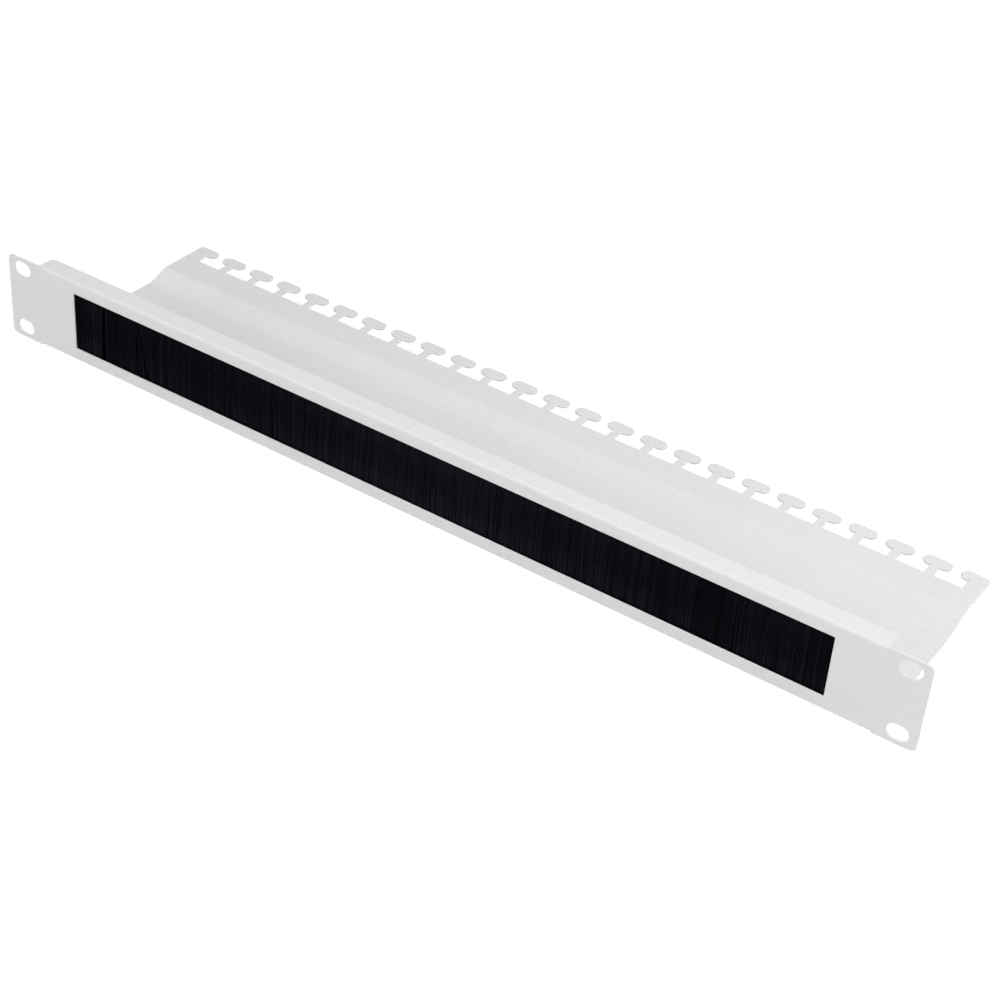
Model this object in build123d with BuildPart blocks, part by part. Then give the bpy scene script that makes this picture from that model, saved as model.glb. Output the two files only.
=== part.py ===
from build123d import *
import math
import os

# Rack panel, one unit high, with a strip brush in its window and a comb-edged cable tray.
# X runs across the rack, Y from the front towards the rear, Z up, in millimetres.
# The origin is the centre of the four rack slots, on the rear face of the upright plate,
# which is the face that lies against the rack rails.

# Sheet steel and its folds
sheet = 1.0
bend_radius = 0.5
blend_radius = 1.0

# Upright plate and its ears
panel_width = 482.6
panel_height = 43.0
panel_corner = 2.5
ear_width = 19.3

# Rack slots, placed from the edges of the plate
slot_length = 10.0
slot_width = 7.5
slot_inset_x = 8.75
slot_inset_z = 5.625

# Window for the brush
side_land = 22.0
top_band = 6.5
bottom_band = 6.5

# Top flange, measured from the front face
flange_depth = 10.0
flange_corner = 1.2

# Cable tray, measured from the front face
joggle_start = 76.4
joggle_run = 11.2
joggle_rise = 4.2
joggle_foot_radius = 14.0
joggle_crest_radius = 7.0
comb_start = 103.2
tray_corner = 2.0

# Tie comb along the rear edge of the tray
tab_length = 13.0
stem_width = 4.0
gap_width = 14.0
mouth_width = 5.0
head_depth = 6.2
least_end_land = 6.5

# Folded channel that holds the bristles
channel_sheet = 0.5
channel_depth = 4.8
channel_corner = 1.2
channel_head_gap = 0.3
mouth_setback = 0.4
crimp_inset = 0.5
crimp_height = 1.6
crimp_radius = 0.8
brush_overlap = 8.0

# Bristles and the wire that they are folded over
wire_diameter = 1.2
wire_fit = 0.05
brush_fit = 0.1
fan_height = 7.0
plate_gap = 0.25
tip_overlap = 3.5
tuft_pitch = 3.5
tuft_ridge = 0.3
tip_notch_width = 0.7
tip_notch_depth = 4.0
tip_unevenness = 0.8
tip_phase_step = 2.4

# Rail that clamps the channel against the plate
rail_sheet = 0.8
rail_bend = 0.5
rail_height = 6.5
rail_top_gap = 0.3
rail_end_gap = 0.2
rail_foot = 11.0

# Weld studs, washers and nuts at the ends of the rail
stud_diameter = 3.0
stud_length = 6.0
stud_chamfer = 0.4
stud_base_diameter = 4.5
stud_base_height = 0.6
stud_hole_fit = 0.2
washer_diameter = 6.0
washer_thickness = 0.5
washer_fit = 0.1
nut_flats = 5.5
nut_height = 2.4
nut_fit = 0.05
nut_crown_angle = 60

# Sizes that follow from the ones above
front_y = -sheet
top_z = panel_height / 2
bottom_z = -panel_height / 2
outer_bend = bend_radius + sheet
body_width = panel_width - 2 * ear_width
window_width = body_width - 2 * side_land
window_height = panel_height - top_band - bottom_band
window_top = top_z - top_band
window_bottom = bottom_z + bottom_band
window_middle = (window_top + window_bottom) / 2
flange_rear_y = front_y + flange_depth
comb_y = front_y + comb_start
tray_rear_y = comb_y + tab_length
tray_rear_z = bottom_z + joggle_rise

pitch = gap_width + stem_width
gap_count = int((body_width - 2 * least_end_land + stem_width) // pitch)
comb_width = gap_count * pitch - stem_width
end_land = (body_width - comb_width) / 2
head_width = pitch - mouth_width
head_overhang = (head_width - stem_width) / 2
head_y = tray_rear_y - head_depth / 2
stem_reach = tab_length - head_depth / 2

brush_length = window_width + 2 * brush_overlap
brush_y = channel_depth / 2
channel_top = top_z - sheet - channel_head_gap
channel_mouth = window_top + mouth_setback
bulb_radius = channel_depth / 2 - channel_sheet - brush_fit
neck_half = channel_depth / 2 - crimp_inset - channel_sheet - brush_fit
tip_half = channel_depth / 2 - plate_gap
wire_z = channel_top - channel_sheet - brush_fit - bulb_radius
tip_z = window_bottom - tip_overlap
tuft_count = int(brush_length // tuft_pitch)
tuft_width = brush_length / tuft_count

rail_top = top_z - sheet - bend_radius - rail_top_gap
rail_middle = rail_top - rail_height / 2
rail_inside = brush_length / 2 + rail_end_gap + rail_bend
rail_outside = rail_inside + rail_foot
rail_outer_bend = rail_bend + rail_sheet
stud_x = (rail_outside + rail_inside + rail_sheet + rail_bend) / 2
stud_places = [(-stud_x, rail_middle), (stud_x, rail_middle)]
washer_y = rail_sheet
nut_y = washer_y + washer_thickness


def tuft_x(number):
    """X of the valley at the left of a tuft, counted from the left end of the brush."""
    return number * tuft_width - brush_length / 2


def tuft_tip(number):
    """Height of the tips of one tuft: real tips are never cut quite level."""
    return tip_z + tip_unevenness * (1 + math.sin(number * tip_phase_step)) / 2


# Folded panel: flange, upright plate and tray are one sheet, drawn as its side profile
with BuildPart() as folded_panel:
    with BuildSketch(Plane.YZ) as side_profile:
        with BuildLine() as outer_face:
            FilletPolyline(
                (flange_rear_y, top_z),
                (front_y, top_z),
                (front_y, bottom_z),
                (front_y + joggle_start, bottom_z),
                (front_y + joggle_start + joggle_run, tray_rear_z),
                (comb_y, tray_rear_z),
                radius=[outer_bend, outer_bend, joggle_foot_radius + sheet, joggle_crest_radius],
            )
            offset(amount=sheet, side=Side.LEFT)
        make_face()
    extrude(amount=body_width / 2, both=True)

    # Ears: the flat plate beyond the flange and the tray
    with BuildSketch(Plane.XZ) as ears:
        RectangleRounded(panel_width, panel_height, panel_corner)
        Rectangle(body_width, panel_height, mode=Mode.SUBTRACT)
    extrude(amount=sheet)

    # Small blends where the ends of the flange and of the tray run into the ears
    for level in (top_z - sheet, bottom_z):
        with BuildSketch(Plane.XY.offset(level)) as blends:
            for side in (-1, 1):
                with Locations((side * (body_width + blend_radius) / 2, blend_radius / 2)):
                    Rectangle(blend_radius, blend_radius)
                with Locations((side * (body_width / 2 + blend_radius), blend_radius)):
                    Circle(blend_radius, mode=Mode.SUBTRACT)
        extrude(amount=sheet)

    # Rounded rear corners of the flange
    upright_edges = folded_panel.edges().filter_by(Axis.Z)
    flange_ends = upright_edges.filter_by_position(Axis.Z, window_top, top_z).group_by(Axis.Y)[-1]
    fillet(flange_ends, flange_corner)

    # Tie comb: T tabs along the rear edge, with half a head on each end land
    with BuildSketch(Plane.XY.offset(tray_rear_z)) as comb:
        tab_places = [(number - (gap_count - 2) / 2) * pitch for number in range(gap_count - 1)]
        with Locations([(x, head_y) for x in tab_places]):
            SlotOverall(head_width, head_depth)
        with Locations([(x, comb_y + stem_reach / 2) for x in tab_places]):
            Rectangle(stem_width, stem_reach)
        for side in (-1, 1):
            hook_x = comb_width / 2 - head_overhang + head_depth / 2
            with Locations((side * hook_x, head_y)):
                Circle(head_depth / 2)
            with Locations((side * (hook_x + body_width / 2) / 2, head_y)):
                Rectangle(body_width / 2 - hook_x, head_depth)
            with Locations((side * (body_width - end_land) / 2, comb_y + tab_length / 2)):
                Rectangle(end_land, tab_length)
        rear_corners = comb.vertices().group_by(Axis.Y)[-1]
        fillet([rear_corners.sort_by(Axis.X)[0], rear_corners.sort_by(Axis.X)[-1]], tray_corner)
    extrude(amount=sheet)

    # Window for the brush, and the four slots for the rack screws
    with BuildSketch(Plane.XZ) as openings:
        with Locations((0, window_middle)):
            Rectangle(window_width, window_height)
        slot_spacing_x = panel_width - 2 * slot_inset_x
        slot_spacing_z = panel_height - 2 * slot_inset_z
        with GridLocations(slot_spacing_x, slot_spacing_z, 2, 2):
            SlotOverall(slot_length, slot_width)
    extrude(amount=sheet, mode=Mode.SUBTRACT)


# Brush channel: a thin strip folded into a U, crimped in at its mouth to grip the bristles
with BuildPart() as brush_channel:
    with BuildSketch(Plane.YZ) as channel_profile:
        with BuildLine() as channel_outside:
            FilletPolyline(
                (crimp_inset, channel_mouth),
                (0, channel_mouth + crimp_height),
                (0, channel_top),
                (channel_depth, channel_top),
                (channel_depth, channel_mouth + crimp_height),
                (channel_depth - crimp_inset, channel_mouth),
                radius=[crimp_radius, channel_corner, channel_corner, crimp_radius],
            )
            offset(amount=channel_sheet, side=Side.RIGHT)
        make_face()
    extrude(amount=brush_length / 2, both=True)


# Core wire: the bristles are folded over it inside the channel
with BuildPart() as core_wire:
    with BuildSketch(Plane.YZ) as wire_section:
        with Locations((brush_y, wire_z)):
            Circle(wire_diameter / 2)
    extrude(amount=brush_length / 2, both=True)


# Bristle curtain: a bulb round the wire, a neck in the crimped mouth, then a fan of tufts
with BuildPart() as bristle_curtain:
    with BuildSketch(Plane.YZ) as fan:
        with Locations((brush_y, wire_z)):
            Circle(bulb_radius)
        with BuildLine() as fan_outline:
            Polyline(
                (brush_y - neck_half, wire_z),
                (brush_y - neck_half, channel_mouth),
                (brush_y - tip_half, channel_mouth - fan_height),
                (brush_y - tip_half, tip_z),
                (brush_y + tip_half, tip_z),
                (brush_y + tip_half, channel_mouth - fan_height),
                (brush_y + neck_half, channel_mouth),
                (brush_y + neck_half, wire_z),
                close=True,
            )
        make_face()
        with Locations((brush_y, wire_z)):
            Circle(wire_diameter / 2 + wire_fit, mode=Mode.SUBTRACT)
    extrude(amount=brush_length / 2, both=True)

    # Tufts: seen from above, the front and the back are rows of shallow ridges
    with BuildSketch(Plane.XY.offset(tip_z)) as tuft_plan:
        with BuildLine() as ridges:
            steps = range(2 * tuft_count + 1)
            depths = [tip_half - (0 if step % 2 else tuft_ridge) for step in steps]
            front = [(tuft_x(step / 2), brush_y - depth) for step, depth in zip(steps, depths)]
            back = [(tuft_x(step / 2), brush_y + depth) for step, depth in zip(steps, depths)]
            Polyline(*front, *reversed(back), close=True)
        make_face()
    extrude(amount=channel_top - tip_z, mode=Mode.INTERSECT)

    # Tips: a narrow notch parts each tuft from the next, and no two end quite level
    with BuildSketch(Plane.XZ) as tip_line:
        outline = [(tuft_x(0), channel_top)]
        for number in range(tuft_count):
            inset = tip_notch_width / 2
            outline.append((tuft_x(number) + (inset if number else 0), tuft_tip(number)))
            last = number == tuft_count - 1
            outline.append((tuft_x(number + 1) - (0 if last else inset), tuft_tip(number)))
            if not last:
                outline.append((tuft_x(number + 1), tip_z + tip_notch_depth))
        outline.append((tuft_x(tuft_count), channel_top))
        with BuildLine() as tip_outline:
            Polyline(*outline, close=True)
        make_face()
    extrude(amount=-channel_depth, mode=Mode.INTERSECT)


# Clamp rail: a strip that steps over the brush channel, with a foot flat on the plate at each end
with BuildPart() as clamp_rail:
    with BuildSketch(Plane.XY.offset(rail_top - rail_height)) as rail_plan:
        with BuildLine() as rail_front:
            FilletPolyline(
                (-rail_outside, 0),
                (-rail_inside, 0),
                (-rail_inside, channel_depth),
                (rail_inside, channel_depth),
                (rail_inside, 0),
                (rail_outside, 0),
                radius=[rail_outer_bend, rail_bend, rail_bend, rail_outer_bend],
            )
            offset(amount=rail_sheet, side=Side.LEFT)
        make_face()
    extrude(amount=rail_height)
    with BuildSketch(Plane.XZ) as stud_holes:
        with Locations(stud_places):
            Circle(stud_base_diameter / 2 + stud_hole_fit)
    extrude(amount=-rail_sheet, mode=Mode.SUBTRACT)


# Weld studs: threaded studs with a small base, welded to the rear face of the plate
with BuildPart() as weld_studs:
    with BuildSketch(Plane.XZ) as stud_bases:
        with Locations(stud_places):
            Circle(stud_base_diameter / 2)
    extrude(amount=-stud_base_height)
    with BuildSketch(Plane.XZ) as stud_shanks:
        with Locations(stud_places):
            Circle(stud_diameter / 2)
    extrude(amount=-stud_length)
    stud_ends = weld_studs.edges().group_by(Axis.Y)[-1]
    chamfer(stud_ends, stud_chamfer)


# Washers: one on each foot of the rail
with BuildPart() as washers:
    with BuildSketch(Plane.XZ.offset(-washer_y)) as washer_rings:
        with Locations(stud_places):
            Circle(washer_diameter / 2)
            Circle(stud_diameter / 2 + washer_fit, mode=Mode.SUBTRACT)
    extrude(amount=-washer_thickness)


# Nuts: hexagonal, with a conical crown that bevels the corners of the outer face
with BuildPart() as nuts:
    with BuildSketch(Plane.XZ.offset(-nut_y)) as nut_hexagons:
        with Locations(stud_places):
            RegularPolygon(nut_flats / 2, 6, major_radius=False)
    extrude(amount=-nut_height)
    with BuildSketch(Plane.XZ.offset(-nut_y - nut_height)) as nut_crowns:
        with Locations(stud_places):
            Circle(nut_flats / 2)
    extrude(amount=nut_height, taper=-nut_crown_angle, mode=Mode.INTERSECT)
    with BuildSketch(Plane.XZ.offset(-nut_y)) as nut_bores:
        with Locations(stud_places):
            Circle(stud_diameter / 2 + nut_fit)
    extrude(amount=-nut_height, mode=Mode.SUBTRACT)


folded_panel.part.label = "folded_panel"
brush_channel.part.label = "brush_channel"
core_wire.part.label = "core_wire"
bristle_curtain.part.label = "bristle_curtain"
clamp_rail.part.label = "clamp_rail"
weld_studs.part.label = "weld_studs"
washers.part.label = "washers"
nuts.part.label = "nuts"

os.makedirs("parts", exist_ok=True)
export_step(folded_panel.part, "parts/folded_panel.step")
export_step(brush_channel.part, "parts/brush_channel.step")
export_step(core_wire.part, "parts/core_wire.step")
export_step(bristle_curtain.part, "parts/bristle_curtain.step")
export_step(clamp_rail.part, "parts/clamp_rail.step")
export_step(weld_studs.part, "parts/weld_studs.step")
export_step(washers.part, "parts/washers.step")
export_step(nuts.part, "parts/nuts.step")
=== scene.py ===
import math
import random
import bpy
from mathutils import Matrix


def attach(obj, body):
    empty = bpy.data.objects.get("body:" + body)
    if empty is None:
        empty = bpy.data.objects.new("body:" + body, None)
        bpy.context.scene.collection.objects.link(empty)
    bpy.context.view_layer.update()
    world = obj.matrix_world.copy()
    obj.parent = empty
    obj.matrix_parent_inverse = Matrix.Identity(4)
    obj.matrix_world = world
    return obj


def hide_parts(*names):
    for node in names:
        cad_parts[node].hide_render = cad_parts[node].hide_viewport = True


bl_info = {
    "name": "Rack brush strip panel",
    "version": (1, 0, 0),
    "blender": (4, 5, 0),
    "location": "View3D > Sidebar > Brush panel",
    "description": "Builds a one-unit rack panel with a bristle strip and a cable tray",
    "category": "Object",
}

import bmesh
import bpy
from mathutils import Matrix, Vector

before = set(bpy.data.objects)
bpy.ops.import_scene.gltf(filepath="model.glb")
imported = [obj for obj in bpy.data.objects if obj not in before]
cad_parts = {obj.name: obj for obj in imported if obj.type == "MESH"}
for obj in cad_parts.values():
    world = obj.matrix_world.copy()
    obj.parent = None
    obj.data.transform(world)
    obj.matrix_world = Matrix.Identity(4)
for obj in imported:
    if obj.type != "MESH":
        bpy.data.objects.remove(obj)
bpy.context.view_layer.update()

MM = 0.001


# Shader arithmetic


class Shade:
    """One value in a node tree. Arithmetic on it adds the nodes that work it out."""

    def __init__(self, tree, socket):
        self.tree = tree
        self.socket = socket

    def node(self, kind, settings, sockets, output=0):
        """Adds a node with its settings and sockets, and returns one of its outputs."""
        made = self.tree.nodes.new(kind)
        for name, value in settings.items():
            setattr(made, name, value)
        for key, value in sockets.items():
            if isinstance(value, Shade):
                self.tree.links.new(value.socket, made.inputs[key])
            else:
                made.inputs[key].default_value = value
        return Shade(self.tree, made.outputs[output])

    def maths(self, operation, first, second):
        """One step of arithmetic on two values."""
        return self.node("ShaderNodeMath", {"operation": operation}, {0: first, 1: second})

    def __add__(self, other):
        return self.maths("ADD", self, other)

    def __radd__(self, other):
        return self.maths("ADD", other, self)

    def __sub__(self, other):
        return self.maths("SUBTRACT", self, other)

    def __rsub__(self, other):
        return self.maths("SUBTRACT", other, self)

    def __mul__(self, other):
        return self.maths("MULTIPLY", self, other)

    def __rmul__(self, other):
        return self.maths("MULTIPLY", other, self)

    def __truediv__(self, other):
        return self.maths("DIVIDE", self, other)

    def __rtruediv__(self, other):
        return self.maths("DIVIDE", other, self)

    def __pow__(self, other):
        return self.maths("POWER", self, other)

    def __rpow__(self, other):
        return self.maths("POWER", other, self)

    def stretch(self, low, high, to_low, to_high):
        """The value mapped from one range to another and held inside it."""
        return self.node(
            "ShaderNodeMapRange",
            {"clamp": True},
            {
                "Value": self,
                "From Min": low,
                "From Max": high,
                "To Min": to_low,
                "To Max": to_high,
            },
        )

    def mix(self, first, second):
        """Two colours mixed by this value."""
        return self.node("ShaderNodeMix", {"data_type": "RGBA"}, {0: self, 6: first, 7: second}, 2)


def new_material(name):
    """An empty material with a finish node, and the starting point for its shader values."""
    material = bpy.data.materials.new(name)
    material.use_nodes = True
    tree = material.node_tree
    finish = tree.nodes["Principled BSDF"]
    start = Shade(tree, None)
    return material, finish, start


def connect(start, finish, **inputs):
    """Feeds shader values or plain numbers to the finish node."""
    for name, value in inputs.items():
        socket = finish.inputs[name.replace("_", " ")]
        if isinstance(value, Shade):
            start.tree.links.new(value.socket, socket)
        else:
            socket.default_value = value


def place(start):
    """The point of the surface in metres."""
    return start.node("ShaderNodeTexCoord", {}, {}, "Object")


def scaled(start, vector, factors):
    """A point with each of its coordinates multiplied."""
    return start.node("ShaderNodeVectorMath", {"operation": "MULTIPLY"}, {0: vector, 1: factors})


def noise(start, vector, scale, detail=2.0, roughness=0.5):
    """Smooth noise from 0 to 1, with so many cells to the metre."""
    return start.node(
        "ShaderNodeTexNoise",
        {"noise_dimensions": "3D"},
        {"Vector": vector, "Scale": scale, "Detail": detail, "Roughness": roughness},
    )


def bump(start, height, distance, strength=1.0):
    """Raises the surface by a height, at most by the distance in metres."""
    sockets = {"Height": height, "Distance": distance, "Strength": strength}
    return start.node("ShaderNodeBump", {}, sockets)


def lighter(colour, factor):
    """A colour with its red, green and blue multiplied."""
    red, green, blue, alpha = colour
    return (red * factor, green * factor, blue * factor, alpha)


# Depth of the relief that the powder coat and the drawn and scratched metals have
PEEL_DEPTH = 0.00026
DRAWN_DEPTH = 0.00001
SCRATCH_DEPTH = 0.000006


def powder_coat_finish(coat):
    """Light grey powder coat with a fine orange peel, whose raised tops are painted lighter as
    painted shading of the relief.
    """
    material, finish, start = new_material("light grey powder coat")
    point = place(start)
    peel = noise(start, point, 1150.0, 1.0)
    waves = noise(start, point, 420.0, 1.0)
    cloud = noise(start, point, 14.0, 3.0)
    tint = cloud.stretch(0.35, 0.65, 0.0, 1.0)
    colour = tint.mix(lighter(coat, 0.99), lighter(coat, 1.01))
    # The peel's raised tops are painted lighter than its hollows as painted shading of the relief,
    # and the same tops are a little rougher
    peel_lit_tops = peel.stretch(0.32, 0.68, 0.0, 1.0)
    colour = (peel_lit_tops * 0.45).mix(colour, lighter(coat, 1.045))
    height = peel + waves * 0.4
    relief = bump(start, height, PEEL_DEPTH)
    rough = cloud.stretch(0.3, 0.7, 0.29, 0.34) + peel_lit_tops * 0.04
    connect(start, finish, Base_Color=colour, Roughness=rough, Normal=relief, IOR=1.5)
    return material


# Places where the bristles are painted darker: X at mid height, lean, half width and the share of
# the light that is left, with lengths in millimetres. The narrow ones are painted shade in the deep
# partings, and the broad one at 148 mm is a darker patch.
PAINTED_SHADE_LINES = (
    (-182.4, 0.03, 1.6, 0.0),
    (-175.2, 0.05, 0.5, 0.3),
    (-158.9, -0.21, 1.7, 0.25),
    (148.0, -0.05, 12.0, 0.42),
)


def bristle_finish(nylon):
    """Black nylon filaments, each a little lighter or darker than the next, with some dust, painted
    shade low down and in the deep partings, painted light towards the bottom and the top, and a
    painted highlight on the kinked one.
    """
    material, finish, start = new_material("black nylon bristle")
    tone = start.node("ShaderNodeAttribute", {"attribute_name": "tone"}, {}, "Fac")
    point = place(start)
    streak = noise(start, scaled(start, point, (1.0, 1.0, 0.03)), 900.0, 2.0)
    height = start.node("ShaderNodeSeparateXYZ", {}, {"Vector": point}, 2)
    # Painted shade where the bristles go down behind the plate, and painted light that makes them
    # lighter towards the bottom and the top of the window
    tucked_shade = height.stretch(-15.2 * MM, -14.0 * MM, 0.1, 1.0)
    painted_light_low = height.stretch(-14.0 * MM, -3.0 * MM, 2.0, 1.0)
    painted_light_high = height.stretch(7.0 * MM, 13.0 * MM, 1.0, 1.7)
    side = start.node("ShaderNodeSeparateXYZ", {}, {"Vector": point}, 0)
    mixed = (tone * 0.72 + streak * 0.28) * (painted_light_low * painted_light_high) * tucked_shade
    # Painted shade in the deep partings, and a broad darker patch
    for middle, lean, half, light_left in PAINTED_SHADE_LINES:
        off = side - middle * MM - height * lean
        mixed = mixed * (off * off).stretch(0.0, (half * MM) ** 2, light_left, 1.0)
    colour = mixed.mix(lighter(nylon, 0.01), nylon)
    # A painted highlight makes the kinked bristle lighter
    painted_glint = tone.stretch(1.0, 2.0, 0.0, 1.0)
    colour = painted_glint.mix(colour, (0.06, 0.058, 0.064, 1.0))
    away = start.node("ShaderNodeTexVoronoi", {"feature": "F1"}, {"Vector": point, "Scale": 110.0})
    dust = away.stretch(0.018, 0.026, 1.0, 0.0)
    colour = dust.mix(colour, (0.10, 0.10, 0.11, 1.0))
    rough = tone.stretch(0.0, 1.0, 0.36, 0.55)
    connect(
        start,
        finish,
        Base_Color=colour,
        Roughness=rough,
        IOR=1.5,
        Specular_IOR_Level=0.045,
        Specular_Tint=(0.58, 0.80, 1.0, 1.0),
    )
    return material


def galvanised_finish(zinc):
    """Galvanised sheet with a soft spangle."""
    material, finish, start = new_material("galvanised sheet")
    point = place(start)
    cells = start.node(
        "ShaderNodeTexVoronoi", {"feature": "F1"}, {"Vector": point, "Scale": 190.0}, "Color"
    )
    level = start.node("ShaderNodeSeparateColor", {}, {"Color": cells}, 0)
    drawn = noise(start, scaled(start, point, (0.03, 1.0, 1.0)), 2600.0, 2.0)
    colour = level.mix(lighter(zinc, 0.84), lighter(zinc, 1.12))
    rough = level.stretch(0.0, 1.0, 0.34, 0.48) + drawn * 0.08
    relief = bump(start, drawn, DRAWN_DEPTH, 0.6)
    connect(start, finish, Base_Color=colour, Metallic=1.0, Roughness=rough, Normal=relief)
    return material


def zinc_finish(zinc):
    """Bright zinc plating on the studs, washers and nuts."""
    material, finish, start = new_material("zinc plating")
    point = place(start)
    bloom = noise(start, point, 420.0, 3.0)
    colour = bloom.stretch(0.3, 0.7, 0.0, 1.0).mix(lighter(zinc, 1.03), lighter(zinc, 1.27))
    scratches = noise(start, scaled(start, point, (1.0, 1.0, 0.15)), 3800.0, 2.0)
    rough = bloom.stretch(0.3, 0.7, 0.24, 0.36) + scratches * 0.06
    relief = bump(start, scratches, SCRATCH_DEPTH, 0.5)
    connect(start, finish, Base_Color=colour, Metallic=1.0, Roughness=rough, Normal=relief)
    return material


def wire_finish():
    """Drawn steel wire."""
    material, finish, start = new_material("drawn steel wire")
    point = place(start)
    drawn = noise(start, scaled(start, point, (0.02, 1.0, 1.0)), 4200.0, 2.0)
    colour = drawn.mix((0.36, 0.36, 0.37, 1.0), (0.50, 0.50, 0.51, 1.0))
    relief = bump(start, drawn, DRAWN_DEPTH, 0.6)
    rough = drawn.stretch(0.3, 0.7, 0.30, 0.42)
    connect(start, finish, Base_Color=colour, Metallic=1.0, Roughness=rough, Normal=relief)
    return material


# The white round the object, a little over full so that it stays white to the camera
WHITE = (1.0, 1.0, 1.0, 1.0)
WHITE_STRENGTH = 1.03


def floor_finish(shade_kept):
    """White to the camera and in reflections, pale to the light that falls on the object."""
    material, finish, start = new_material("white studio floor")
    tree = material.node_tree
    path = tree.nodes.new("ShaderNodeLightPath")
    camera = Shade(tree, path.outputs["Is Camera Ray"])
    glossy = Shade(tree, path.outputs["Is Glossy Ray"])
    through = Shade(tree, path.outputs["Is Transmission Ray"])
    seen = (camera + glossy + through).stretch(0.0, 1.0, 0.0, 1.0 - shade_kept)
    connect(start, finish, Base_Color=(0.97, 0.97, 0.97, 1.0), Roughness=0.9)
    glow = start.node("ShaderNodeEmission", {}, {"Color": WHITE, "Strength": WHITE_STRENGTH})
    surface = start.node(
        "ShaderNodeMixShader", {}, {0: seen, 1: Shade(tree, finish.outputs[0]), 2: glow}
    )
    tree.links.new(surface.socket, tree.nodes["Material Output"].inputs["Surface"])
    return material


# Meshes


def add_piece(name, mesh, material):
    """Puts a finished mesh in the scene as a piece of the object."""
    piece = bpy.data.objects.new(name, mesh)
    bpy.context.scene.collection.objects.link(piece)
    mesh.materials.clear()
    mesh.materials.append(material)
    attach(piece, "root")
    return piece


# The corner reliefs beside the ears: where they begin and end along the panel, the farthest that
# they run back and the lowest height that they reach
RELIEF_ALONG = (220.5 * MM, 223.6 * MM)
RELIEF_BACK = 2.1 * MM
RELIEF_HEIGHT = 19.4 * MM


def in_corner_relief(point):
    """Whether a point is in the small reliefs where the flange and the tray run into the ears."""
    x, y, z = abs(point.x), point.y, abs(point.z)
    return RELIEF_ALONG[0] < x < RELIEF_ALONG[1] and y < RELIEF_BACK and z > RELIEF_HEIGHT


# The outline that the coating gives: where the tab heads begin and where their comb ends, their
# pitch and middle line and how much they spread along and across the panel, and the flange's corner
# as it is folded and as it looks coated
HEAD_START = 108.9 * MM
COMB_HALF = 213.9 * MM
HEAD_PITCH = 18.0 * MM
HEAD_MIDDLE = 112.1 * MM
HEAD_SPREAD = (1.05, 1.07)
FLANGE_END = (222.0 * MM, 9.0 * MM)
FLANGE_CORNER = (1.2 * MM, 2.4 * MM)

# Points closer than this are one point
SAME_POINT = 1e-6

# Angles in degrees: faces that differ by less than the first are merged, edges over the second are
# rounded, and edges under the third are shaded smooth
MERGED_ANGLE = 0.5
ROUNDED_ANGLE = 40
SMOOTH_ANGLE = 38


def soften_outline(work):
    """Spreads the heads of the tie tabs and eases the flange's corners, as the coating does."""
    folded, coated = FLANGE_CORNER
    for point in work.verts:
        x, y, z = point.co
        if y > HEAD_START and abs(x) < COMB_HALF:
            centre = round(x / HEAD_PITCH) * HEAD_PITCH
            point.co.x = centre + (x - centre) * HEAD_SPREAD[0]
            point.co.y = HEAD_MIDDLE + (y - HEAD_MIDDLE) * HEAD_SPREAD[1]
        across = abs(x) - FLANGE_END[0] + folded
        along = y - FLANGE_END[1] + folded
        if z > 0.0 and across > -SAME_POINT and along > -SAME_POINT:
            turn = math.atan2(along, across)
            point.co.x = math.copysign(FLANGE_END[0] - coated + coated * math.cos(turn), x)
            point.co.y = FLANGE_END[1] - coated + coated * math.sin(turn)


def rounded_copy(node, radius, segments, left_sharp, reshape):
    """A copy of a CAD node's mesh with its sharp edges rounded, as a thick coating rounds them."""
    work = bmesh.new()
    work.from_mesh(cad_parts[node].data)
    bmesh.ops.remove_doubles(work, verts=work.verts, dist=SAME_POINT)
    bmesh.ops.dissolve_limit(
        work, angle_limit=math.radians(MERGED_ANGLE), verts=work.verts, edges=work.edges
    )
    reshape(work)
    sharp = [
        edge
        for edge in work.edges
        if edge.is_manifold
        and edge.calc_face_angle() > math.radians(ROUNDED_ANGLE)
        and not any(left_sharp(point.co) for point in edge.verts)
    ]
    bmesh.ops.bevel(
        work,
        geom=sharp,
        offset=radius,
        offset_type="OFFSET",
        affect="EDGES",
        segments=segments,
        profile=0.5,
        clamp_overlap=False,
        material=-1,
    )
    for face in work.faces:
        face.smooth = True
    for edge in work.edges:
        edge.smooth = edge.is_manifold and edge.calc_face_angle() < math.radians(SMOOTH_ANGLE)
    mesh = bpy.data.meshes.new(node + " rounded")
    work.to_mesh(mesh)
    work.free()
    return mesh


def weigh_normals(piece):
    """Keeps the flat faces flat beside their rounded edges."""
    modifier = piece.modifiers.new("flat faces first", "WEIGHTED_NORMAL")
    modifier.mode = "FACE_AREA"
    modifier.weight = 100
    modifier.keep_sharp = True
    bpy.context.view_layer.update()
    graph = bpy.context.evaluated_depsgraph_get()
    done = bpy.data.meshes.new_from_object(
        piece.evaluated_get(graph), preserve_all_data_layers=True, depsgraph=graph
    )
    if not done.polygons:
        raise RuntimeError(piece.name + " lost its faces")
    piece.modifiers.clear()
    piece.data = done


# Where the random curves along the brush begin, and how far they run, in millimetres
DRIFT_START = -225.0
DRIFT_LENGTH = 460


def drift(seed, spacing, low, high):
    """A smooth random curve along X: a function that gives its height at x, in millimetres."""
    chance = random.Random(seed)
    knots = [chance.uniform(low, high) for _ in range(int(DRIFT_LENGTH / spacing) + 4)]

    def height(x):
        at = (x - DRIFT_START) / spacing
        first = int(at)
        part = at - first
        ease = part * part * (3.0 - 2.0 * part)
        return knots[first] * (1.0 - ease) + knots[first + 1] * ease

    return height


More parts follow.
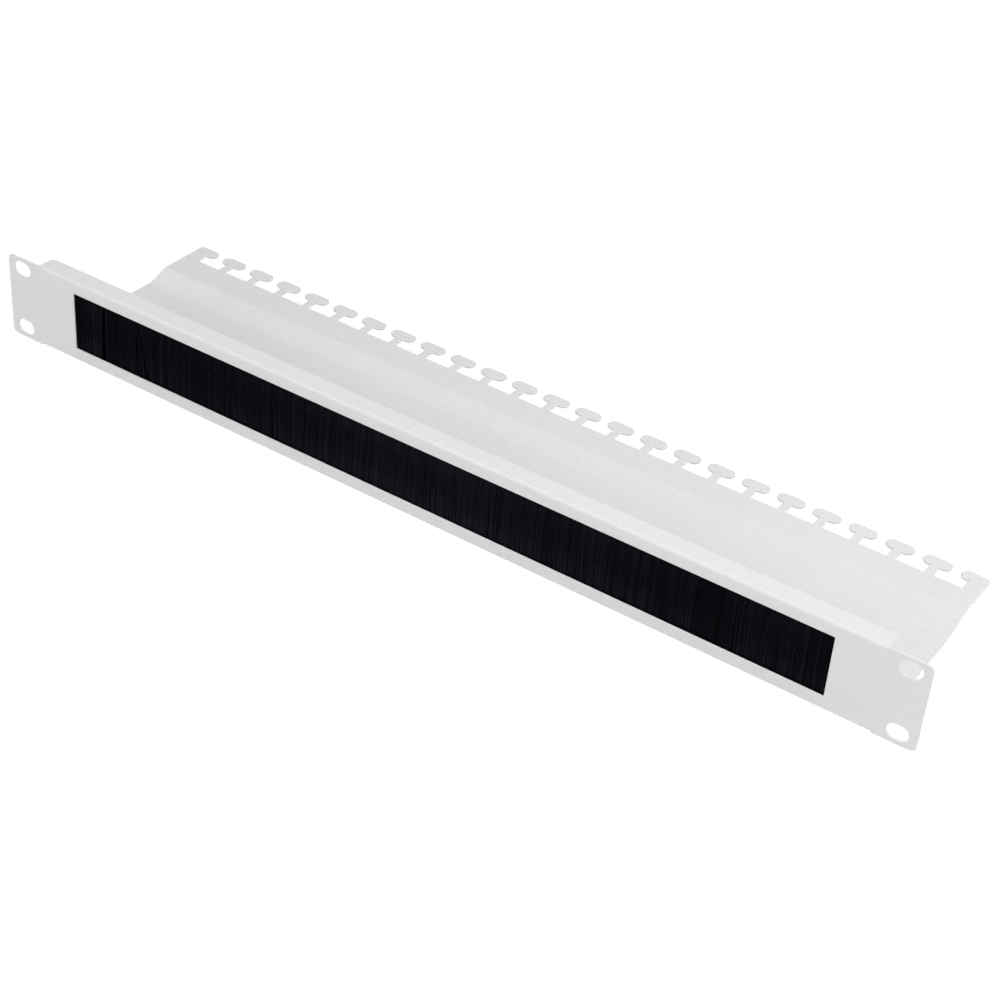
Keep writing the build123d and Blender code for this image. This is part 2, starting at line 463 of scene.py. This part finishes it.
# Places where the front bristles part, in millimetres: X at mid height, half the width, how far it
# opens and how far it leans per millimetre of height
PARTINGS = (
    (-182.8, 1.7, 1.15, 0.03),
    (-175.2, 1.0, 0.36, 0.05),
    (-159.3, 1.0, 0.62, -0.22),
    (-196.2, 0.9, 0.30, 0.06),
    (-197.6, 0.8, 0.35, 0.02),
    (63.0, 0.9, 0.25, 0.03),
    (150.6, 1.0, 0.30, 0.05),
    (172.0, 0.9, 0.30, 0.10),
)

# Tufts that look darker or lighter than their neighbours: X of their middle and half their width in
# millimetres, and the change of tone. The darker one at -178 mm, beside the parting at -182.8 mm, is
# painted shade of that recess.
PATCHES = (
    (-198.0, 1.5, -0.12),
    (-190.0, 5.0, 0.16),
    (-178.0, 4.0, -0.14),
    (-165.0, 3.0, 0.05),
    (-150.0, 6.0, -0.05),
    (-142.0, 7.0, 0.05),
    (-126.0, 4.5, -0.09),
    (-113.0, 2.0, -0.08),
)

# A tuft that leans across its neighbours: X of its roots, half its width, how far its tips lean and
# its tone
LEANING_TUFT = (-161.9, 0.6, 5.2, 0.1)

# The brush in millimetres: half its length, the line through its depth's middle, the farthest along
# that a tip may lean, where its rows begin and how long they are
BRUSH_HALF = 208.0
BRUSH_MIDDLE = 2.4
TIP_LIMIT = 207.8
ROW_START = -207.7
ROW_LENGTH = 415.4

# The packed bristles in the middle of the brush, which keep it opaque: their pitch, how many
# filaments wide each one is, where they begin and how long their row is
CORE_PITCH = 0.36
CORE_WIDTH = 2.0
CORE_START = -207.5
CORE_LENGTH = 415.2

# How bristles differ from each other: in tone, in length and in depth
TONE_SPREAD = 0.10
TRIM_SPREAD = 0.22
DEPTH_SPREAD = 0.07

# How much painted light makes the brush lighter at its right end than in its middle, and how much
# painted shade makes both of its ends darker
RIGHT_LIGHT = 0.05
END_SHADE = 0.30

# How far the front bristles bow forward, and the tone and width of the kinked one, whose tone over 1
# gives it a painted highlight
FRONT_BOW = 0.25
BENT_HIGHLIGHT_TONE = 1.6
BENT_WIDTH = 0.8

# Points that the curve's mesh has in the two end caps of a rod and in each ring along it
CAP_POINTS = 8
RING_POINTS = 4

# Height of a filament's points, how far down it each one is, and half the depth of the brush there
FILAMENT_POINTS = (
    (16.4, 0.0, 1.15),
    (13.6, 0.02, 1.32),
    (8.0, 0.14, 2.0),
    (0.0, 0.42, 2.02),
    (-9.0, 0.74, 2.02),
    (-18.1, 1.0, 2.0),
)


def filament(x, depth, across, chance, looseness=0.30):
    """One bristle's points in millimetres, and its tone. Its depth is -1 in front and 1 behind."""
    slack = chance.gauss(0.0, looseness)
    reach = x + across["lean"](x) + across["sway"](x) + slack
    # Painted light in the middle and towards the right end, painted shade at both ends
    middle_light = RIGHT_LIGHT * x / BRUSH_HALF - END_SHADE * abs(x / BRUSH_HALF)
    tone = across["shade"](x) + across["cast"](x) + middle_light + chance.gauss(0.0, TONE_SPREAD)
    for middle, half, change in PATCHES:
        tone += change * math.exp(-(((x - middle) / half) ** 2))
    front = max(0.0, -depth)
    roots, half_width, tip_lean, tuft_tone = LEANING_TUFT
    if front > 0.4 and abs(x - roots) < half_width:
        reach = x + tip_lean + slack
        tone = tuft_tone
    reach = max(-TIP_LIMIT, min(TIP_LIMIT, reach))
    trim = across["trim"](x) + chance.uniform(-TRIM_SPREAD, TRIM_SPREAD)
    path = []
    for z, down, half in FILAMENT_POINTS:
        bow = 4.0 * down * (1.0 - down)
        y = BRUSH_MIDDLE + depth * (half + across["belly"](x))
        y = y + chance.uniform(-DEPTH_SPREAD, DEPTH_SPREAD) - FRONT_BOW * bow * front
        along = x + (reach - x) * down + bow * slack * 0.3
        for middle, width, opening, lean in PARTINGS:
            off = (along - middle - lean * z) / width
            side = 1.0 if off > 0.0 else -1.0
            freedom = min(1.0, 1.8 * bow + 0.2 * down)
            along += side * opening * front**0.5 * math.exp(-off * off) * freedom
        path.append((along, y, z + trim * (down == 1.0)))
    return path, min(1.0, max(0.0, tone))


def bent_filament():
    """The one bristle whose end is kinked and crosses its neighbours in front."""
    return [
        (-153.9, 1.6, 16.4),
        (-153.8, 1.6, 13.6),
        (-153.6, 1.4, 8.0),
        (-153.3, 1.2, 0.0),
        (-152.8, 0.9, -8.9),
        (-150.1, -0.15, -12.1),
    ]


def filament_mesh(name, paths, tones, widths, diameter):
    """A mesh of thin rods along the paths, with each rod's tone kept on its points."""
    curve = bpy.data.curves.new(name, "CURVE")
    curve.dimensions = "3D"
    curve.bevel_depth = diameter / 2
    curve.bevel_resolution = 0
    curve.use_fill_caps = True
    for path, width in zip(paths, widths):
        spline = curve.splines.new("POLY")
        spline.points.add(len(path) - 1)
        spline.points.foreach_set("radius", [width] * len(path))
        flat = [value for x, y, z in path for value in (x * MM, y * MM, z * MM, 1.0)]
        spline.points.foreach_set("co", flat)
    holder = bpy.data.objects.new(name, curve)
    bpy.context.scene.collection.objects.link(holder)
    graph = bpy.context.evaluated_depsgraph_get()
    mesh = bpy.data.meshes.new_from_object(holder.evaluated_get(graph))
    bpy.data.objects.remove(holder)
    bpy.data.curves.remove(curve)
    # The curve gives the end caps first, from the last rod to the first, and then the rods
    caps = CAP_POINTS * len(paths)
    each = RING_POINTS * len(paths[0])
    last = mesh.vertices[-1].co - Vector(paths[-1][-1]) * MM
    if len(mesh.vertices) != caps + each * len(paths) or last.length > diameter:
        raise RuntimeError("the filaments' points aren't in the order that their tones need")
    values = [tone for tone in reversed(tones) for _ in range(CAP_POINTS)]
    values += [tone for tone in tones for _ in range(each)]
    layer = mesh.attributes.new("tone", "FLOAT", "POINT")
    layer.data.foreach_set("value", values)
    return mesh


class BRUSH_settings(bpy.types.PropertyGroup):
    """Sizes of the pieces that the scene adds, and the colours of the object."""

    coat_colour: bpy.props.FloatVectorProperty(
        name="Coat colour",
        description="Colour of the powder coat",
        default=(0.733, 0.732, 0.722, 1.0),
        size=4,
        subtype="COLOR",
    )
    bristle_colour: bpy.props.FloatVectorProperty(
        name="Bristle colour",
        description="Colour of the lightest bristles",
        default=(0.0165, 0.0158, 0.0240, 1.0),
        size=4,
        subtype="COLOR",
    )
    zinc_colour: bpy.props.FloatVectorProperty(
        name="Zinc colour",
        description="Colour of the galvanised strips and the fasteners",
        default=(0.553, 0.563, 0.577, 1.0),
        size=4,
        subtype="COLOR",
    )

    coat_round: bpy.props.FloatProperty(
        name="Coat rounding",
        description="Radius of the coated sheet's edges",
        default=0.43 * MM,
        unit="LENGTH",
    )
    filament_diameter: bpy.props.FloatProperty(
        name="Filament diameter",
        description="Diameter of one bristle",
        default=0.28 * MM,
        unit="LENGTH",
    )
    filament_pitch: bpy.props.FloatProperty(
        name="Filament pitch",
        description="Distance from one bristle to the next in a row",
        default=0.33 * MM,
        unit="LENGTH",
    )
    filament_rows: bpy.props.IntProperty(
        name="Rows of filaments",
        description="Rows of bristles through the depth of the brush",
        default=9,
    )
    shade_kept: bpy.props.FloatProperty(
        name="Floor shade",
        description="Share of the object's shadow that the floor shows",
        default=0.07,
        subtype="FACTOR",
    )


class BRUSH_OT_panel(bpy.types.Operator):
    """Replace the folded panel with a copy that has rounded coated edges"""

    bl_idname = "brush.panel"
    bl_label = "Coated panel"

    def execute(self, context):
        sizes = context.scene.brush_sizes
        mesh = rounded_copy("folded_panel", sizes.coat_round, 4, in_corner_relief, soften_outline)
        if not mesh.polygons:
            raise RuntimeError("the panel's copy has no faces")
        finish = powder_coat_finish(tuple(sizes.coat_colour))
        piece = add_piece("coated_panel", mesh, finish)
        weigh_normals(piece)
        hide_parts("folded_panel")
        return {"FINISHED"}


class BRUSH_OT_bristles(bpy.types.Operator):
    """Replace the bristle curtain with rows of single filaments"""

    bl_idname = "brush.bristles"
    bl_label = "Bristle rows"

    def execute(self, context):
        sizes = context.scene.brush_sizes
        finish = bristle_finish(tuple(sizes.bristle_colour))
        across = {
            "lean": drift(11, 8.0, -0.9, 0.9),
            "sway": drift(12, 3.0, -0.35, 0.35),
            "belly": drift(13, 12.0, -0.05, 0.05),
            "trim": drift(14, 2.4, -0.35, 0.35),
            "shade": drift(15, 1.1, 0.17, 0.60),
            "cast": drift(16, 14.0, -0.07, 0.07),
        }
        pitch = sizes.filament_pitch / MM
        rows = sizes.filament_rows
        groups = {"front": [], "middle": [], "rear": []}
        for row in range(rows):
            depth = 2.0 * row / (rows - 1) - 1.0
            name = ("front", "middle", "rear")[min(2, row * 3 // rows)]
            groups[name].append((row, depth))
        for name, members in groups.items():
            paths = []
            tones = []
            for row, depth in members:
                chance = random.Random(100 + row)
                for step in range(int(ROW_LENGTH / pitch)):
                    x = ROW_START + (step + 0.5 + chance.uniform(-0.4, 0.4)) * pitch
                    path, tone = filament(x, depth, across, chance)
                    paths.append(path)
                    tones.append(tone)
            widths = [1.0] * len(paths)
            if name == "front":
                paths.append(bent_filament())
                tones.append(BENT_HIGHLIGHT_TONE)
                widths.append(BENT_WIDTH)
            self.add_rods(name, paths, tones, widths, finish, sizes.filament_diameter)
        chance = random.Random(99)
        paths = []
        tones = []
        for step in range(int(CORE_LENGTH / CORE_PITCH)):
            path, tone = filament(CORE_START + step * CORE_PITCH, 0.0, across, chance, 0.0)
            paths.append(path)
            tones.append(tone)
        widths = [CORE_WIDTH] * len(paths)
        self.add_rods("core", paths, tones, widths, finish, sizes.filament_diameter)
        return {"FINISHED"}

    def add_rods(self, name, paths, tones, widths, finish, diameter):
        """Adds one group of bristles as a piece that stands in for the curtain."""
        mesh = filament_mesh("bristles " + name, paths, tones, widths, diameter)
        piece = add_piece("bristles_" + name, mesh, finish)
        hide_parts("bristle_curtain")


class BRUSH_OT_metal(bpy.types.Operator):
    """Give the channel, rail, wire and fasteners their metal finishes"""

    bl_idname = "brush.metal"
    bl_label = "Metal finishes"

    def execute(self, context):
        zinc = tuple(context.scene.brush_sizes.zinc_colour)
        finishes = {
            "brush_channel": galvanised_finish(zinc),
            "core_wire": wire_finish(),
            "weld_studs": zinc_finish(zinc),
        }
        finishes["clamp_rail"] = finishes["brush_channel"]
        finishes["washers"] = finishes["weld_studs"]
        finishes["nuts"] = finishes["weld_studs"]
        for name, finish in finishes.items():
            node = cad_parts.get(name)
            if node is None:
                raise RuntimeError("the frame has no node named " + name)
            for slot in node.material_slots:
                slot.material = finish
        return {"FINISHED"}


# Lamps: name, place, aim, width and height, power in watts and colour
LAMPS = (
    (
        "overhead softbox",
        (-0.55, -0.05, 1.05),
        (0.0, 0.0, 0.0),
        (1.0, 0.8),
        3.8,
        (1.0, 0.99, 0.955),
    ),
    (
        "right softbox",
        (0.60, -0.25, 0.85),
        (0.05, 0.02, 0.0),
        (0.5, 0.5),
        4.8,
        (0.98, 0.995, 1.045),
    ),
    (
        "high front light",
        (-0.12, -0.57, 1.03),
        (0.2, 0.0, 0.0),
        (0.26, 0.26),
        2.4,
        (0.98, 0.995, 1.04),
    ),
    (
        "rear softbox",
        (0.50, 0.65, 0.60),
        (0.05, 0.03, 0.0),
        (0.5, 0.5),
        3.0,
        (1.0, 0.99, 0.95),
    ),
    (
        "front left softbox",
        (-0.60, -1.0, 0.58),
        (0.0, 0.0, 0.0),
        (0.4, 0.4),
        2.6,
        (0.99, 1.0, 0.99),
    ),
    (
        "right side light",
        (1.15, 0.03, 0.26),
        (0.22, 0.03, 0.0),
        (0.4, 0.4),
        0.8,
        (0.95, 0.97, 1.05),
    ),
)

# The light of the surroundings, the floor's height, just under the tray, and half its side
WORLD_LIGHT = 0.20
FLOOR_HEIGHT = -21.6 * MM
FLOOR_HALF = 6.0

# The camera of the photograph: its place, its own three directions, its sensor and lens in
# millimetres, how far the picture is shifted, and the nearest and farthest that it sees
CAMERA_PLACE = (0.425857, -0.620466, 0.529870)
CAMERA_RIGHT = (0.8247577, 0.5613219, 0.0685018)
CAMERA_UP = (-0.3686699, 0.4418886, 0.8178123)
CAMERA_BACK = (0.4287858, -0.6997515, 0.5713935)
CAMERA_SENSOR = 36.0
CAMERA_LENS = 76.7017
CAMERA_SHIFT = (-0.00883, -0.02772)
CAMERA_RANGE = (0.01, 50.0)


class BRUSH_OT_stage(bpy.types.Operator):
    """Add the floor, the lights and the camera"""

    bl_idname = "brush.stage"
    bl_label = "Stage and camera"

    def execute(self, context):
        scene = context.scene
        work = bmesh.new()
        bmesh.ops.create_grid(work, x_segments=1, y_segments=1, size=FLOOR_HALF)
        bmesh.ops.translate(work, verts=work.verts, vec=(0.0, 0.0, FLOOR_HEIGHT))
        mesh = bpy.data.meshes.new("floor")
        work.to_mesh(mesh)
        work.free()
        mesh.materials.append(floor_finish(scene.brush_sizes.shade_kept))
        floor = bpy.data.objects.new("studio_floor", mesh)
        scene.collection.objects.link(floor)

        world = bpy.data.worlds.new("studio")
        world.use_nodes = True
        scene.world = world
        tree = world.node_tree
        path = tree.nodes.new("ShaderNodeLightPath")
        camera = Shade(tree, path.outputs["Is Camera Ray"])
        background = tree.nodes["Background"]
        background.inputs["Color"].default_value = WHITE
        strength = camera.stretch(0.0, 1.0, WORLD_LIGHT, WHITE_STRENGTH)
        tree.links.new(strength.socket, background.inputs["Strength"])

        for name, place_at, aim, size, power, tint in LAMPS:
            lamp = bpy.data.lights.new(name, "AREA")
            lamp.shape = "RECTANGLE"
            lamp.size, lamp.size_y = size
            lamp.energy = power
            lamp.color = tint
            holder = bpy.data.objects.new(name, lamp)
            scene.collection.objects.link(holder)
            direction = Vector(aim) - Vector(place_at)
            turn = direction.to_track_quat("-Z", "Y").to_matrix().to_4x4()
            holder.matrix_world = Matrix.Translation(place_at) @ turn

        lens = bpy.data.cameras.new("view")
        lens.sensor_width = CAMERA_SENSOR
        lens.lens = CAMERA_LENS
        lens.shift_x, lens.shift_y = CAMERA_SHIFT
        lens.clip_start, lens.clip_end = CAMERA_RANGE
        eye = bpy.data.objects.new("view", lens)
        scene.collection.objects.link(eye)
        turn = Matrix((CAMERA_RIGHT, CAMERA_UP, CAMERA_BACK)).transposed().to_4x4()
        eye.matrix_world = Matrix.Translation(CAMERA_PLACE) @ turn
        scene.camera = eye
        scene.view_settings.view_transform = "Standard"
        return {"FINISHED"}


class BRUSH_PT_build(bpy.types.Panel):
    """Lists the steps that build the model"""

    bl_idname = "BRUSH_PT_build"
    bl_label = "Brush panel"
    bl_space_type = "VIEW_3D"
    bl_region_type = "UI"
    bl_category = "Brush panel"

    def draw(self, context):
        layout = self.layout
        sizes = context.scene.brush_sizes
        for name in sizes.__annotations__:
            layout.prop(sizes, name)
        for step in STEPS:
            layout.operator(step.bl_idname)


STEPS = (BRUSH_OT_panel, BRUSH_OT_bristles, BRUSH_OT_metal, BRUSH_OT_stage)
CLASSES = (BRUSH_settings,) + STEPS + (BRUSH_PT_build,)


def register():
    for each in CLASSES:
        bpy.utils.register_class(each)
    bpy.types.Scene.brush_sizes = bpy.props.PointerProperty(type=BRUSH_settings)


def unregister():
    del bpy.types.Scene.brush_sizes
    for each in reversed(CLASSES):
        bpy.utils.unregister_class(each)


def main():
    """Builds every piece in order."""
    register()
    bpy.ops.brush.panel()
    bpy.ops.brush.bristles()
    bpy.ops.brush.metal()
    bpy.ops.brush.stage()


if __name__ == "__main__":
    main()
